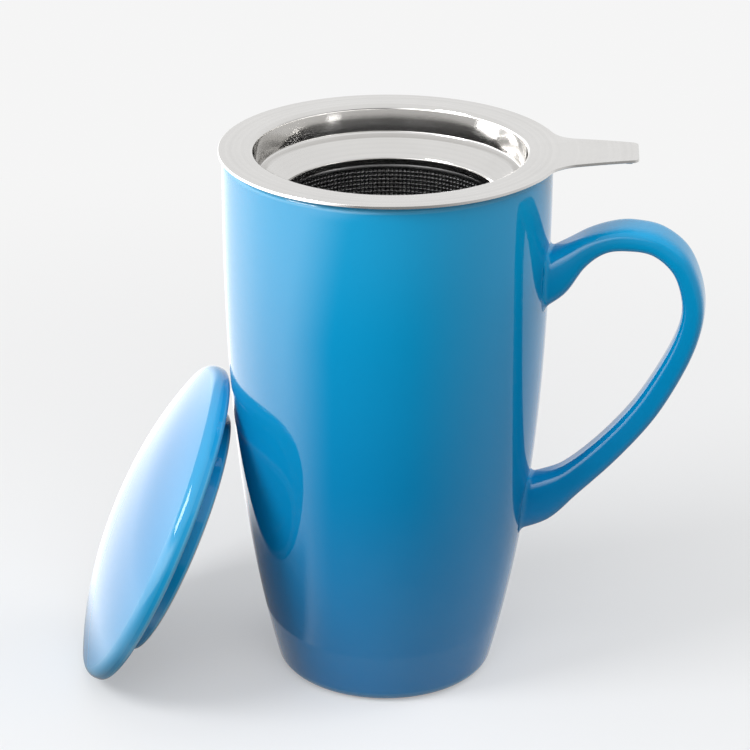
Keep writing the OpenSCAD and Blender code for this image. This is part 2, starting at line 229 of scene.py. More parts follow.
class StudioSettings(PropertyGroup):
    """Camera, floor and light"""

    distance: length("Camera distance", "Level distance from the mug's axis to the camera", 693.32 * MM)
    rise: length("Camera height", "Height of the camera over the table", 377.79 * MM)
    azimuth: angle("Camera azimuth", "Direction from the mug to the camera, from -Y", 10)
    pan: angle("Pan", "Small turn that sets the mug in the frame", 0.234)
    pitch: angle("Pitch", "How far the camera looks down", 23.259)
    roll: angle("Roll", "Roll of the camera", 0.254)
    lens: FloatProperty(
        name="Lens", description="Focal length in millimetres", default=142.25, unit="CAMERA"
    )
    sensor: FloatProperty(
        name="Sensor", description="Sensor width in millimetres", default=36, unit="CAMERA"
    )
    floor: colour("Floor", "Colour of the paper where it is seen or mirrored", (0.775, 0.78, 0.79))
    bounce: colour("Bounce", "Colour of the light that the paper throws back", (0.24, 0.24, 0.24))
    backdrop: share("Backdrop", "Brightness of the backdrop where it is seen", 0.915)
    mirrored: share("Mirrored backdrop", "Brightness of the backdrop where it is mirrored", 0.98)
    key_light: strength("Key light", "Radiance of the soft panel in front on the left", 14)
    front_light: strength("Front light", "Radiance of the soft panel over the front", 2.75)
    back_light: strength("Back light", "Radiance of the soft panel behind on the right", 2.2)
    card_light: strength("Card light", "Radiance of the mirrored card on the left", 1.9)
    fill: strength("Fill", "Strength of the pale surroundings", 0.58)


# ---- Shader expressions ----


class Value:
    """A socket in a finish's node tree. Python's operators add Math nodes to the tree."""

    def __init__(self, finish, socket):
        self.finish = finish
        self.socket = socket

    def math(self, operation, *others, swap=False):
        """Adds a Math node on this value and others, in that order or swapped."""
        values = (*others, self) if swap else (self, *others)
        return self.finish.node("ShaderNodeMath", {"operation": operation}, *values)("Value")

    def __add__(self, other):
        return self.math("ADD", other)

    __radd__ = __add__

    def __sub__(self, other):
        return self.math("SUBTRACT", other)

    def __rsub__(self, other):
        return self.math("SUBTRACT", other, swap=True)

    def __mul__(self, other):
        return self.math("MULTIPLY", other)

    __rmul__ = __mul__

    def clamped(self):
        """The value held between 0 and 1."""
        return self.math("MINIMUM", 1.0).math("MAXIMUM", 0.0)

    def smooth(self, low, high):
        """A smooth step from 0 at low to 1 at high."""
        return self.finish.node(
            "ShaderNodeMapRange",
            {"interpolation_type": "SMOOTHSTEP"},
            Value=self,
            From_Min=low,
            From_Max=high,
        )("Result")


class Finish:
    """A material built from expressions."""

    def __init__(self, name, store=None):
        self.material = (bpy.data.materials if store is None else store).new(name)
        self.material.use_nodes = True
        self.tree = self.material.node_tree
        self.tree.nodes.clear()

    def feed(self, socket, value):
        """Links a value to a socket, or sets a constant on it."""
        if isinstance(value, Value):
            self.tree.links.new(value.socket, socket)
        elif socket.type == "RGBA" and len(value) == 3:
            socket.default_value = (*value, 1)
        else:
            socket.default_value = value

    def node(self, kind, settings=None, *values, **inputs):
        """Adds a node. The result gives an output by its name.

        Values go to the inputs in order, or by an input's name with underscores for spaces.
        """
        node = self.tree.nodes.new(kind)
        for key, value in (settings or {}).items():
            setattr(node, key, value)

        def named(sockets, name):
            return next(socket for socket in sockets if socket.name == name and socket.enabled)

        for socket, value in zip(node.inputs, values):
            self.feed(socket, value)
        for name, value in inputs.items():
            self.feed(named(node.inputs, name.replace("_", " ")), value)
        return lambda output: Value(self, named(node.outputs, output))

    def place(self):
        """The object's own coordinates."""
        return self.node("ShaderNodeTexCoord")("Object")

    def axes(self):
        """The object's own x, y and z in metres."""
        split = self.node("ShaderNodeSeparateXYZ", Vector=self.place())
        return split("X"), split("Y"), split("Z")

    def noise(self, scale, detail=2, roughness=0.5, where=None):
        """Soft noise from 0 to 1. The scale is in turns per metre."""
        return self.node(
            "ShaderNodeTexNoise",
            Vector=where or self.place(),
            Scale=scale,
            Detail=detail,
            Roughness=roughness,
        )("Fac")

    def attribute(self, name):
        """A value stored on the mesh."""
        return self.node("ShaderNodeAttribute", {"attribute_name": name})("Fac")

    def mix(self, factor, first, second):
        """A colour between two colours."""
        mix = self.node("ShaderNodeMix", {"data_type": "RGBA"}, Factor=factor, A=first, B=second)
        return mix("Result")

    def grey(self, value):
        """A grey colour from a value."""
        return self.node("ShaderNodeCombineColor", Red=value, Green=value, Blue=value)("Color")

    def bump(self, height, depth, **inputs):
        """A bump whose full height is depth metres."""
        return self.node("ShaderNodeBump", Height=height, Distance=depth, **inputs)("Normal")

    def blend(self, factor, first, second):
        """A shader between two shaders."""
        return self.node("ShaderNodeMixShader", None, factor, first, second)("Shader")

    def shown(self, shader, output="ShaderNodeOutputMaterial"):
        """The finished material or world, with this shader on its surface."""
        self.node(output, Surface=shader)
        return self.material


def glaze_finish(name, colours):
    """Blue glaze over pale clay. It thins over edges, ends at the foot and is white inside the cup.

    The pieces say where, by their own values: edge, bare, liner, and a value that darkens the blue,
    partly for glaze that is thick and partly as painted shade where less light falls.
    """
    finish = Finish(name)
    thin = finish.attribute("edge").clamped()
    liner = finish.attribute("liner")
    bare = finish.attribute("bare")
    drift = finish.noise(38, 3, 0.55)
    cloud = finish.noise(11, 2, 0.5)
    fleck = finish.noise(2600, 1, 0.5).smooth(0.735, 0.79)
    # The darker glaze value is partly thick glaze and partly painted shade: darker down the cup and
    # handle and over the lid's dome.
    depth = finish.attribute("deep") + (cloud - 0.5) * 0.3
    body = finish.mix(depth.clamped(), colours.glaze, colours.glaze_deep)
    body = finish.mix(thin * (0.75 + 0.5 * drift), body, colours.glaze_thin)
    body = finish.mix((cloud - 0.5) * 0.2 + (drift - 0.5) * 0.12, body, colours.glaze_thin)
    lined = finish.mix((liner + (drift - 0.5) * 0.25).smooth(0.4, 0.6), body, colours.liner)
    clay = finish.mix(finish.noise(900, 4, 0.65), [0.8 * c for c in colours.clay], colours.clay)
    edge_of_glaze = (bare + (drift - 0.5) * 0.3).smooth(0.42, 0.58)
    tone = finish.mix(edge_of_glaze, lined, clay)
    tone = finish.mix(fleck * 0.22 * (1 - edge_of_glaze), tone, [0.25 * c for c in colours.glaze])
    gloss = colours.glaze_roughness + (finish.noise(160, 2) - 0.5) * 0.08
    ripple = finish.bump(finish.noise(55, 1, 0.4), 0.16 * MM, Strength=0.35)
    sand = finish.noise(3200, 2, 0.6)
    grit = finish.bump(sand, 0.05 * MM, Strength=edge_of_glaze * 0.8, Normal=ripple)
    shader = finish.node(
        "ShaderNodeBsdfPrincipled",
        Base_Color=tone,
        Roughness=gloss * (1 - edge_of_glaze) + edge_of_glaze * 0.78,
        IOR=1.5,
        Specular_IOR_Level=0.0,
        Coat_Weight=1 - edge_of_glaze,
        Coat_Roughness=colours.coat_roughness,
        Coat_IOR=1.45,
        Normal=grit,
    )
    return finish.shown(shader("BSDF"))


def steel_finish(name, metal, roughness, grain, lines):
    """Stainless steel. Fine turned lines, given per metre, run round the infuser's own axis."""
    finish = Finish(name)
    x, y, z = finish.axes()
    off = x - bpy.context.scene.mug_infuser.slip
    radius = (off * off + y * y).math("SQRT")
    along = finish.node("ShaderNodeCombineXYZ", X=radius * lines, Y=z * lines)("Vector")
    turned = finish.noise(1, 3, 0.6, along)
    smear = finish.noise(60, 3, 0.6)
    grit = finish.noise(2400, 2, 0.6)
    dull = [0.82 * c for c in metal]
    bright = [1.12 * c for c in metal]
    shader = finish.node(
        "ShaderNodeBsdfPrincipled",
        Base_Color=finish.mix((turned * 0.6 + smear * 0.4).clamped(), dull, bright),
        Metallic=1.0,
        Roughness=(roughness + (turned - 0.5) * 0.1 + (smear - 0.5) * 0.06).clamped(),
        Normal=finish.bump(turned * 0.7 + grit * 0.3, grain),
    )
    return finish.shown(shader("BSDF"))


def backdrop_glow(finish, studio, kind):
    """The backdrop's own light, and a value that is 1 for the rays that see or mirror it."""
    path = finish.node("ShaderNodeLightPath")
    mirror = path("Is Glossy Ray").math("MAXIMUM", path("Is Transmission Ray"))
    glow = finish.grey(studio.backdrop + mirror * (studio.mirrored - studio.backdrop))
    return finish.node(kind, Color=glow, Strength=1.0), mirror.math("MAXIMUM", path("Is Camera Ray"))


def paper_finish(studio):
    """Matte paper that turns into a bright backdrop away from the mug.

    It throws back less light than it shows.
    """
    finish = Finish("studio_paper")
    fibre = finish.noise(700, 3, 0.6)
    x, y, z = finish.axes()
    away = 0.4 + 0.6 * (x * x + y * y + z * z).math("SQRT").smooth(0.05, 0.4)
    cast = finish.mix(fibre * 0.5, studio.floor, [0.99 * c for c in studio.floor])
    near = finish.node("ShaderNodeBsdfDiffuse", Color=cast)("BSDF")
    far, seen = backdrop_glow(finish, studio, "ShaderNodeEmission")
    dull = finish.node("ShaderNodeBsdfDiffuse", Color=studio.bounce)("BSDF")
    return finish.shown(finish.blend(seen, dull, finish.blend(away, near, far("Emission"))))


def card_finish(radiance):
    """A sheet for mirrored rays: it glows on the left, is smoked in front and clear near the mug, and
    holds a painted shadow of the lid, dark and smoked on the floor under the lid.

    Distances are in metres from the mug's axis.
    """
    finish = Finish("studio_card")
    x, y, z = finish.axes()
    far = (x * x + y * y).math("SQRT")
    round_left = (0 - x).math("ARCTAN2", 0 - y)

    def past(low, high, direction=round_left):
        """0 to 1 between two directions in degrees, from the front round by the left."""
        return direction.smooth(math.radians(low), math.radians(high))

    left = past(34, 76, round_left + 1.6 * (far - 0.25).math("MAXIMUM", 0))
    back = 0.4 * past(100, 140) + 0.6 * past(148, 175)
    # Painted shadow: no glow and some smoke on the floor under the lid, where the lid's shadow falls.
    painted_lid_shadow = past(52, 62) * (1 - past(125, 165)) * (1 - far.smooth(0.075, 0.11))
    glow = (0.45 + 0.85 * far.smooth(-0.05, 0.36)) * left * (1 - back) * (1 - painted_lid_shadow)
    glow = glow * (1 + 0.5 * z.smooth(0.02, 0.2)) * (1 - z.smooth(0.25, 0.42))
    smoked = (0.35 + 0.6 * past(-80, -10)) * past(-125, -85)
    smoked = smoked * far.smooth(0, 0.13) * (1 - 0.3 * far.smooth(0.25, 0.4))
    clear = 1 - (1 - left) * smoked - 0.6 * painted_lid_shadow * left
    shine = finish.node("ShaderNodeEmission", Color=finish.grey(glow), Strength=radiance)("Emission")
    smoke = finish.node("ShaderNodeBsdfTransparent", Color=(0, 0, 0))("BSDF")
    air = finish.node("ShaderNodeBsdfTransparent", Color=(1, 1, 1))("BSDF")
    sheet = finish.blend(clear, smoke, air)
    finish.material.cycles.emission_sampling = "NONE"
    return finish.shown(finish.node("ShaderNodeAddShader", None, shine, sheet)("Shader"))


def air_finish(studio):
    """Pale surroundings, as bright as the backdrop where they are seen or mirrored."""
    finish = Finish("studio_air", bpy.data.worlds)
    fill = finish.node("ShaderNodeBackground", Color=(1, 1, 1), Strength=studio.fill)("Background")
    bright, seen = backdrop_glow(finish, studio, "ShaderNodeBackground")
    return finish.shown(finish.blend(seen, fill, bright("Background")), "ShaderNodeOutputWorld")


# ---- Outlines ----


def arc(centre, radius, start, end, steps=8):
    """Points along an arc between two angles in degrees."""
    angles = [math.radians(start + (end - start) * i / steps) for i in range(steps + 1)]
    return [(centre[0] + radius * math.cos(a), centre[1] + radius * math.sin(a)) for a in angles]


def line(start, end, steps):
    """Points from start to end, without the start."""
    (x0, y0), (x1, y1) = start, end
    return [(x0 + (x1 - x0) * i / steps, y0 + (y1 - y0) * i / steps) for i in range(1, steps + 1)]


def rounded(corners, steps=6):
    """A path through corners, each given as a point and the radius that rounds it.

    A point just before and after each bend keeps the shading of the straight parts true.
    """
    hold = 0.12
    path = []
    for i, (corner, radius) in enumerate(corners):
        if radius == 0:
            path.append(tuple(corner))
            continue
        here = Vector(corner)
        back = (Vector(corners[i - 1][0]) - here).normalized()
        ahead = (Vector(corners[i + 1][0]) - here).normalized()
        half = back.angle(ahead) / 2
        centre = here + (back + ahead).normalized() * radius / math.sin(half)
        first = here + back * radius / math.tan(half) - centre
        last = here + ahead * radius / math.tan(half) - centre
        start = math.degrees(math.atan2(first.y, first.x))
        turn = math.degrees(math.atan2(last.y, last.x)) - start
        turn -= 360 * round(turn / 360)
        before = centre + first + back * radius * hold
        after = centre + last + ahead * radius * hold
        path += [tuple(before)] + arc(centre, radius, start, start + turn, steps) + [tuple(after)]
    return path


def cup_r(z):
    """Outer radius of the cup at height z."""
    cup = bpy.context.scene.mug_cup
    rise = 1 - max(0, min(1, z / cup.height))
    return cup.base_r + (cup.mouth_r - cup.base_r) * (1 - rise**cup.fullness)


def cup_outline(cup):
    """The cup's section, from the axis under the foot, up the outside, over the lip and down inside."""
    corner = cup.foot_corner
    slope = math.atan(cup.fullness * (cup.mouth_r - cup.base_r) / cup.height)
    corner_top = corner * (1 - math.sin(slope))
    foot_r = cup_r(corner_top) - corner * math.cos(slope)
    lip = cup.wall / 2
    side_top = cup.height - lip
    floor_z = cup.foot_recess + cup.floor
    low_z = floor_z + cup.floor_corner
    inner_foot = foot_r - cup.foot_w

    def inside(z):
        return cup_r(z) - cup.wall_low - (cup.wall - cup.wall_low) * z / cup.height

    hollow = rounded(
        [
            ((0, cup.foot_recess), 0),
            ((inner_foot - cup.foot_recess, cup.foot_recess), 0.8 * MM),
            ((inner_foot, 0), 0.4 * MM),
            ((foot_r, 0), 0),
        ]
    )[:-1]
    steps = 60
    side = [corner_top + (side_top - corner_top) * i / steps for i in range(1, steps + 1)]
    wall = [side_top - (side_top - low_z) * i / steps for i in range(1, steps + 1)]
    low_r = inside(low_z)
    return (
        hollow
        + arc((foot_r, corner), corner, -90, -math.degrees(slope), 12)
        + [(cup_r(z), z) for z in side]
        + arc((cup.mouth_r - lip, side_top), lip, 10, 170, 18)
        + [(inside(z), z) for z in wall]
        + arc((low_r - cup.floor_corner, low_z), cup.floor_corner, -6, -90, 14)
        + line((low_r - cup.floor_corner, floor_z), (0, floor_z), 6)
    )


def lid_outline(lid, infuser):
    """The lid's section in its own frame, with its underside's edge at height 0."""
    slope = math.atan(lid.flatness * lid.dome / lid.radius)
    shoulder = (lid.radius - lid.edge_top_r, lid.edge - lid.edge_top_r)
    dome_r = shoulder[0] + lid.edge_top_r * math.sin(slope)
    dome_foot = shoulder[1] + lid.edge_top_r * math.cos(slope)
    ring_r = infuser.collar_r - lid.ring_gap
    ring_in = ring_r - lid.ring_w
    bevel = 1 * MM

    def dome(r):
        return dome_foot + lid.dome * (1 - (r / dome_r) ** lid.flatness)

    recess = [(ring_in - bevel) * i / 24 for i in range(25)]
    ring = rounded(
        [
            ((ring_in, dome(ring_in) - lid.wall - bevel), 0),
            ((ring_in, -lid.ring_h), 0.9 * MM),
            ((ring_r, -lid.ring_h), 0.9 * MM),
            ((ring_r, 0), 0.8 * MM),
            ((lid.radius - lid.edge_low_r, 0), 0),
        ]
    )
    return (
        [(r, dome(r) - lid.wall) for r in recess]
        + ring
        + arc((lid.radius - lid.edge_low_r, lid.edge_low_r), lid.edge_low_r, -80, 0, 8)
        + arc(shoulder, lid.edge_top_r, 0, 90 - math.degrees(slope), 16)
        + [(dome_r * i / 48, dome(dome_r * i / 48)) for i in range(47, -1, -1)]
    )


def lid_matrix(lid):
    """Stands the lid on the table and leans it on the cup."""
    lean = lid.lean_el
    corner = lid.edge_low_r
    low_r = lid.radius - corner
    z = low_r * math.cos(lean) - corner * math.sin(lean) + corner + lid.table_gap
    touch_z = z + low_r * math.cos(lean) + corner * math.sin(lean)
    out = cup_r(touch_z) + corner + lid.cup_gap + low_r * math.sin(lean) - corner * math.cos(lean)
    turn = Matrix.Rotation(lid.lean_az, 4, "Z")
    return turn @ Matrix.Translation((out, lid.side, z)) @ Matrix.Rotation(math.pi / 2 - lean, 4, "Y")


def collar_path(infuser):
    """The collar's inside face from the flange down to the skirt's end, as radius and height."""
    start = infuser.collar_r + infuser.bend + infuser.press_round
    wall_z = infuser.top - infuser.collar_d
    skirt_top = wall_z - infuser.funnel_d
    under = infuser.sheet + 0.4 * MM
    return rounded(
        [
            ((start, infuser.top), 0),
            ((infuser.collar_r, infuser.top), infuser.bend),
            ((infuser.collar_r - infuser.taper, wall_z), infuser.press_round),
            ((infuser.step_r, wall_z - infuser.step_drop), under),
            ((infuser.skirt_r, skirt_top), under),
            ((infuser.skirt_r, skirt_top - infuser.skirt_h), 0),
        ],
        8,
    )


def flange_outline(infuser, tab):
    """Outline of the flange and its tab, round from the tip, with the tab along the x axis."""
    side = math.atan((tab.root_w - tab.tip_w) / 2 / (tab.reach - infuser.flange_r))
    off = tab.root_w / 2 + infuser.flange_r * math.tan(side) + tab.fillet / math.cos(side)
    far = infuser.flange_r + tab.fillet
    spread = 1 + math.tan(side) ** 2
    x = (off * math.tan(side) + math.sqrt(far**2 * spread - off**2)) / spread
    y = off - x * math.tan(side)
    meets_flange = math.degrees(math.atan2(y, x))
    tip = (tab.reach - tab.corner, tab.tip_w / 2 - tab.corner)
    corner = arc(tip, tab.corner, 0, 90 - math.degrees(side), 6)
    fillet = arc((x, y), tab.fillet, 270 - math.degrees(side), 180 + meets_flange, 12)
    half = (
        line((tab.reach, 0), corner[0], 4)
        + corner[1:]
        + line(corner[-1], fillet[0], 6)
        + fillet[1:]
        + arc((0, 0), infuser.flange_r, meets_flange, 180, 110)[1:]
    )
    return [(tab.reach, 0)] + half + [(px, -py) for px, py in reversed(half[:-1])]


# ---- Mesh helpers ----


def path_in(bm, points):
    """Adds a path of points (radius, height) over the x axis. Returns its vertices and edges."""
    verts = [bm.verts.new((r, 0, z)) for r, z in points]
    edges = [bm.edges.new(pair) for pair in zip(verts, verts[1:])]
    return verts + edges


def lathe(points, steps):
    """A bmesh of a path of points (radius, height) turned round the z axis."""
    bm = bmesh.new()
    bmesh.ops.spin(
        bm,
        geom=path_in(bm, points),
        cent=(0, 0, 0),
        axis=(0, 0, 1),
        angle=2 * math.pi,
        steps=steps,
        use_merge=True,
    )
    bmesh.ops.remove_doubles(bm, verts=bm.verts, dist=1e-7)
    bmesh.ops.recalc_face_normals(bm, faces=bm.faces)
    return bm


def extrude(bm, edges):
    """Extrudes edges in place. Returns their new vertices and edges."""
    grown = bmesh.ops.extrude_edge_only(bm, edges=edges)["geom"]
    verts = {item for item in grown if isinstance(item, bmesh.types.BMVert)}
    edges = [item for item in grown if isinstance(item, bmesh.types.BMEdge)]
    return list(verts), [edge for edge in edges if verts.issuperset(edge.verts)]


def face_up(bm):
    """Turns an open sheet's faces so that they look up."""
    bmesh.ops.recalc_face_normals(bm, faces=bm.faces)
    if sum(face.normal.z * face.calc_area() for face in bm.faces) < 0:
        bmesh.ops.reverse_faces(bm, faces=bm.faces)


def mark(bm, **values):
    """Stores named values on each vertex. A value is a number, or is worked out from the vertex."""
    for name, value in values.items():
        layer = bm.verts.layers.float.new(name)
        for vert in bm.verts:
            vert[layer] = value(vert) if callable(value) else value


def worn_edge(vert):
    """How far a vertex lies on an outer edge: 1 where the surface bends by WORN_CURVATURE or more."""

    def curvature(edge):
        across = sum(face.calc_area() for face in edge.link_faces) / 2 / edge.calc_length()
        return edge.calc_face_angle_signed(0) / max(1e-6, across)

    bends = [curvature(edge) for edge in vert.link_edges if len(edge.link_faces) == 2]
    return min(1, max(0, max(bends, default=0) / WORN_CURVATURE))


def step(low, high, value):
    """A smooth step from 0 at low to 1 at high."""
    t = max(0, min(1, (value - low) / (high - low)))
    return t * t * (3 - 2 * t)


def new_object(name, data):
    """An object of the scene's own collection."""
    made = bpy.data.objects.new(name, data)
    bpy.context.scene.collection.objects.link(made)
    return made


def mesh_object(name, bm, material):
    """Turns a bmesh into a smooth object with one material."""
    mesh = bpy.data.meshes.new(name)
    bm.to_mesh(mesh)
    bm.free()
    mesh.materials.append(material)
    mesh.shade_smooth()
    return new_object(name, mesh)


def make_piece(name, bm, material, body, nodes, sharp=math.radians(35)):
    """Turns a bmesh into a piece that rides on a body and stands for CAD nodes."""
    piece = mesh_object(name, bm, material)
    piece.data.set_sharp_from_angle(angle=sharp)
    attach(piece, body)
    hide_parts(*nodes)
    return piece


def finish_named(name, make, *inputs, **settings):
    """A material by name, made the first time that it is asked for."""
    return bpy.data.materials.get(name) or make(name, *inputs, **settings)


def glaze():
    """The blue glaze."""
    return finish_named("blue_glaze", glaze_finish, bpy.context.scene.mug_colours)


def steel():
    """The collar's and rim's polished steel."""
    metal = bpy.context.scene.mug_colours.steel
    return finish_named(
        "pressed_steel", steel_finish, metal, roughness=0.1, grain=0.003 * MM, lines=900
    )


def screen_steel():
    """The perforated sheet's steel, darkened far below real steel as painted shade for the dim inside
    of the infuser.
    """
    metal = bpy.context.scene.mug_colours.screen
    return finish_named(
        "screen_steel", steel_finish, metal, roughness=0.24, grain=0.006 * MM, lines=500
    )


# ---- Operators, one for each piece ----


class MUG_OT_cup(Operator):
    """Turn the cup, with its rounded lip, bare foot ring and white inside"""

    bl_idname = "mug.cup"
    bl_label = "Cup"

    def execute(self, context):
        cup = context.scene.mug_cup
        bm = lathe(cup_outline(cup), TURN_STEPS)
        lip_r = cup.mouth_r - cup.wall / 2
        foot_top = 0.5 * MM

        def inside(vert):
            r = math.hypot(vert.co.x, vert.co.y)
            if vert.co.z < cup.foot_recess + cup.floor / 2:
                return 0.0
            if vert.co.z > cup.height - cup.wall:
                return step(1 * MM, 3 * MM, lip_r - r + cup.height - vert.co.z) if r < lip_r else 0.0
            return 1.0 if r < cup_r(vert.co.z) - cup.wall / 2 else 0.0

        mark(
            bm,
            edge=worn_edge,
            liner=inside,
            bare=lambda vert: 1 - step(0, foot_top, vert.co.z),
            # Painted shade, partly thick glaze: the blue darkens towards the foot, where less light
            # falls.
            deep=lambda vert: 1 - vert.co.z / cup.height,
        )
        make_piece("cup", bm, glaze(), "mug", ["cup_body"])
        return {"FINISHED"}


def strap_stations(cup, handle):
    """Outer and inner points of the strap at its stations, from the upper root to the lower one."""
    top = HANDLE_HIGH.z
    foot = top - handle.height
    out = HANDLE_HIGH.x
    upper = cup_r(top - handle.upper_root) - handle.depth
    lower = cup_r(foot + handle.lower_root / 2) - handle.depth
    t = handle.thickness
    # Each row is a place on the outer edge, the direction to the inner edge and the strap's depth
    rows = [
        (upper, top - 9.8 * MM, -90, handle.upper_root),
        (upper + 6.6 * MM, top - 6.1 * MM, -86, handle.upper_root - 2 * MM),
        (upper + 12.7 * MM, top - 2.6 * MM, -91, t + 2.4 * MM),
        (out - 23.3 * MM, top - 0.5 * MM, -101, t + 0.5 * MM),
        (out - 18.1 * MM, top, -95, t),
        (out - 11.4 * MM, top - 1.2 * MM, -109, t - 0.2 * MM),
        (out - 5.3 * MM, top - 5.5 * MM, -128, t - 0.2 * MM),
        (out - 1.7 * MM, top - 12.1 * MM, -153, t - 0.5 * MM),
        (out, top - 20.1 * MM, -176, t - 0.4 * MM),
        (out - 0.9 * MM, top - 28.1 * MM, -192, t - 0.1 * MM),
        (out - 4.3 * MM, top - 37.8 * MM, -205, t + 0.3 * MM),
        (out - 10.9 * MM, top - 50.5 * MM, -213, t + 0.7 * MM),
        (out - 19.9 * MM, top - 62.5 * MM, -227, t + 1.1 * MM),
        (lower + 16.7 * MM, foot + 12 * MM, -245, t + 2.5 * MM),
        (lower + 9.2 * MM, foot + 4.1 * MM, -261, handle.lower_root - 1.7 * MM),
        (lower, foot, -270, handle.lower_root),
    ]
    pairs = []
    for x, z, direction, depth in rows:
        outer = Vector((x, 0, z))
        across = Matrix.Rotation(-math.radians(direction), 3, "Y") @ Vector((depth, 0, 0))
        pairs.append((outer, outer + across))
    return pairs


def smooth_between(points, place):
    """A smooth curve through a list of points. A whole place lies on a point."""
    last = len(points) - 1
    i = min(last - 1, int(place))
    t = place - i
    p0, p1, p2, p3 = (points[max(0, min(last, i + k))] for k in (-1, 0, 1, 2))
    bent = (2 * p0 - 5 * p1 + 4 * p2 - p3) * t**2 + (3 * p1 - p0 - 3 * p2 + p3) * t**3
    return 0.5 * (2 * p1 + (p2 - p0) * t + bent)


class MUG_OT_handle(Operator):
    """Draw the strap handle through its stations and blend both roots into the wall"""

    bl_idname = "mug.handle"
    bl_label = "Handle"

    def execute(self, context):
        cup = context.scene.mug_cup
        handle = context.scene.mug_handle
        outer, inner = zip(*strap_stations(cup, handle))
        last = len(outer) - 1
        narrow_from = 6
        root_steps = 36
        bow_steps = 9
        section_points = 56
        places = [i / root_steps for i in range(root_steps)]
        places += [1 + i / bow_steps for i in range((last - 2) * bow_steps)]
        places += [last - 1 + i / root_steps for i in range(root_steps + 1)]

        def section(place):
            """Matrix that takes a flat unit ring to the strap's section."""
            top = smooth_between(outer, place)
            low = smooth_between(inner, place)
            across = (top - low) / 2
            t = max(0, place - narrow_from) / (last - narrow_from)
            width = handle.width + (handle.foot_width - handle.width) * min(1, 1.5 * t)
            side = Vector((0, width / 2, 0))
            ahead = across.cross(side).normalized() * MM
            matrix = Matrix((across, side, ahead)).transposed().to_4x4()
            matrix.translation = (top + low) / 2
            return matrix

        bm = bmesh.new()
        ring = bmesh.ops.create_circle(bm, segments=section_points, radius=1)["verts"]
        power = 2 / handle.squareness
        for vert in ring:
            for axis in (0, 1):
                vert.co[axis] = math.copysign(abs(vert.co[axis]) ** power, vert.co[axis])
        edges = list(bm.edges)
        matrix = section(places[0])
        bmesh.ops.transform(bm, matrix=matrix, verts=ring)
        centres = {vert: matrix.translation for vert in ring}
        bm.faces.new(ring)
        for place in places[1:]:
            ahead = section(place)
            ring, edges = extrude(bm, edges)
            bmesh.ops.transform(bm, matrix=ahead @ matrix.inverted(), verts=ring)
            matrix = ahead
            centres.update({vert: matrix.translation for vert in ring})
        bmesh.ops.contextual_create(bm, geom=edges)
        # Near the wall the section swells, as the slip and glaze fill the corner
        for vert, centre in centres.items():
            off = math.hypot(vert.co.x, vert.co.y) - cup_r(vert.co.z)
            near = max(0.0, min(1.0, 1 - off / handle.fillet))
            swell = handle.fillet * (1 - math.sqrt(1 - near * near))
            if off < 0:
                swell = handle.fillet * max(0.0, 1 + off / handle.fillet)
            vert.co += (vert.co - centre).normalized() * swell
        bmesh.ops.recalc_face_normals(bm, faces=bm.faces)
        # Painted shade, partly thick glaze: the blue darkens towards the lower root, where less light
        # falls.
        mark(bm, edge=0.0, liner=0.0, bare=0.0, deep=lambda vert: 1 - vert.co.z / cup.height)
        make_piece("handle", bm, glaze(), "mug", ["cup_handle"], sharp=math.radians(60))
        return {"FINISHED"}


class MUG_OT_lid(Operator):
    """Turn the loose lid and lean it on the cup"""

    bl_idname = "mug.lid"
    bl_label = "Lid"

    def execute(self, context):
        lid = context.scene.mug_lid
        bare_h = 0.7 * MM
        bm = lathe(lid_outline(lid, context.scene.mug_infuser), TURN_STEPS)
        mark(
            bm,
            edge=worn_edge,
            liner=0.0,
            bare=lambda vert: 1 - step(-lid.ring_h, bare_h - lid.ring_h, vert.co.z),
            # Painted shade: the dome's glaze is darker than the edge band and the ring, standing in for
            # less light on the dome.
            deep=lambda vert: 0.25 + 0.55 * step(0, 2 * lid.edge, vert.co.z),
        )
        bmesh.ops.transform(bm, matrix=lid_matrix(lid), verts=bm.verts)
        make_piece("lid_dish", bm, glaze(), "lid", ["lid"])
        return {"FINISHED"}


def seat(bm, infuser):
    """Moves a piece from the infuser's own axis to its place in the mouth."""
    bmesh.ops.translate(bm, vec=(infuser.slip, 0, 0), verts=bm.verts)


def give_thickness(piece, thickness, offset):
    """Turns a sheet into a solid one."""
    wall = piece.modifiers.new("Sheet", "SOLIDIFY")
    wall.thickness = thickness
    wall.offset = offset
    wall.use_even_offset = True


